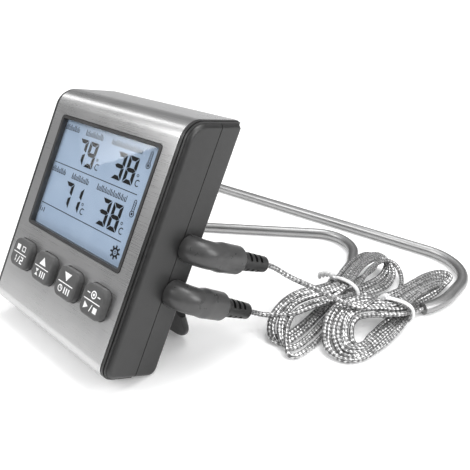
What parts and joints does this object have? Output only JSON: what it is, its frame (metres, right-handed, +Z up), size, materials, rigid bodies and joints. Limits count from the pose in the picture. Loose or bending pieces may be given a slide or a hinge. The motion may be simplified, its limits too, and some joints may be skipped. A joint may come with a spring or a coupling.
{
  "type": "meat thermometer",
  "caption": "Countertop cooking thermometer: wedge case with steel face, display and keys, propped on a flap stand, with wired steel probes and hanks of braided cord on the table.",
  "frame": {"origin": "on the table, at the middle of the case and its open kickstand", "axes": "+X along the case's width to the plug side, +Y to the back, +Z up"},
  "size_m": [0.2096, 0.1688, 0.0852],
  "materials": {
    "case_plastic": "fine satin texture, moulded",
    "steel_face": "sideways brushed grain",
    "bezel_plastic": "thin dark grey rim",
    "lens": "clear, glossy",
    "lcd": "grey-blue reflective display with dark segments",
    "light_plastic": "milky, satin",
    "contact_rubber": "matt black",
    "key_rubber": "matt, soft touch, white printed marks",
    "board_laminate": "green solder mask over laminate",
    "black_plastic": "moulded, satin",
    "fastener_steel": "zinc-plated",
    "knob_plastic": "ribbed",
    "plated_metal": "nickel plate",
    "cell_jacket": "printed film over a steel can",
    "plug_mould": "moulded, satin, lighter barrel",
    "relief_rubber": "slotted, matt",
    "probe_steel": "drawn stainless tube, satin",
    "cord_braid": "braid of fine steel wire over a thin lead",
    "tie_plastic": "white twist tie, wire inside plastic"
  },
  "bodies": {
    "root": {"front_shell": "case_plastic", "rear_cover": "case_plastic", "steel_panel": "steel_face", "display_bezel": "bezel_plastic", "display_lens": "lens", "lcd_glass": "lcd", "backlight_panel": "light_plastic", "lcd_frame": "light_plastic", "contact_strip": "contact_rubber", "keypad_mat": "key_rubber", "main_board": "board_laminate", "rear_board": "board_laminate", "chip_blob": "black_plastic", "buzzer": "black_plastic", "board_header": "black_plastic", "board_screws": "fastener_steel", "case_screws": "fastener_steel", "stand_pin": "fastener_steel", "jack_socket_high": "black_plastic", "jack_socket_low": "black_plastic", "power_switch_body": "black_plastic", "unit_switch_body": "black_plastic", "magnets": "plated_metal", "battery_contacts": "plated_metal", "battery_low": "cell_jacket", "battery_high": "cell_jacket", "probe_far": "probe_steel", "probe_near": "probe_steel", "hank_near": "cord_braid", "hank_far": "cord_braid", "lead_high": "cord_braid", "lead_low": "cord_braid", "tie_near": "tie_plastic", "tie_far": "tie_plastic"},
    "kickstand": {"kickstand": "case_plastic"},
    "battery_door": {"battery_door": "case_plastic"},
    "power_switch_knob": {"power_switch_knob": "knob_plastic"},
    "unit_switch_knob": {"unit_switch_knob": "knob_plastic"},
    "key_sel": {"key_sel": "key_rubber", "contact_pill_sel": "contact_rubber"},
    "key_up": {"key_up": "key_rubber", "contact_pill_up": "contact_rubber"},
    "key_down": {"key_down": "key_rubber", "contact_pill_down": "contact_rubber"},
    "key_set": {"key_set": "key_rubber", "contact_pill_set": "contact_rubber"},
    "plug_high": {"plug_high": "plug_mould", "strain_relief_high": "relief_rubber", "plug_pin_high": "plated_metal"},
    "plug_low": {"plug_low": "plug_mould", "strain_relief_low": "relief_rubber", "plug_pin_low": "plated_metal"}
  },
  "joints": [
    {"name": "key_sel_press", "type": "slide", "parent": "root", "child": "key_sel", "axis": [0, 0.8636, -0.5042], "range_m": [0, 0.0009], "stiffness_N_per_m": 400},
    {"name": "key_up_press", "type": "slide", "parent": "root", "child": "key_up", "axis": [0, 0.8636, -0.5042], "range_m": [0, 0.0009], "stiffness_N_per_m": 400},
    {"name": "key_down_press", "type": "slide", "parent": "root", "child": "key_down", "axis": [0, 0.8636, -0.5042], "range_m": [0, 0.0009], "stiffness_N_per_m": 400},
    {"name": "key_set_press", "type": "slide", "parent": "root", "child": "key_set", "axis": [0, 0.8636, -0.5042], "range_m": [0, 0.0009], "stiffness_N_per_m": 400},
    {"name": "kickstand_hinge", "type": "hinge", "parent": "root", "child": "kickstand", "pos_m": [0, 0.00076, 0.02804], "axis": [1, 0, 0], "range_deg": [-42.5, 0]},
    {"name": "battery_door_hinge", "type": "hinge", "parent": "root", "child": "battery_door", "pos_m": [0, 0.01275, 0.04669], "axis": [1, 0, 0], "range_deg": [-100, 0]},
    {"name": "power_switch_slide", "type": "slide", "parent": "root", "child": "power_switch_knob", "axis": [1, 0, 0], "range_m": [0, 0.003]},
    {"name": "unit_switch_slide", "type": "slide", "parent": "root", "child": "unit_switch_knob", "axis": [1, 0, 0], "range_m": [0, 0.003]},
    {"name": "plug_high_pull", "type": "slide", "parent": "root", "child": "plug_high", "axis": [1, 0, 0], "range_m": [0, 0.012], "deforming": ["lead_high"]},
    {"name": "plug_low_pull", "type": "slide", "parent": "root", "child": "plug_low", "axis": [1, 0, 0], "range_m": [0, 0.012], "deforming": ["lead_low"]}
  ]
}
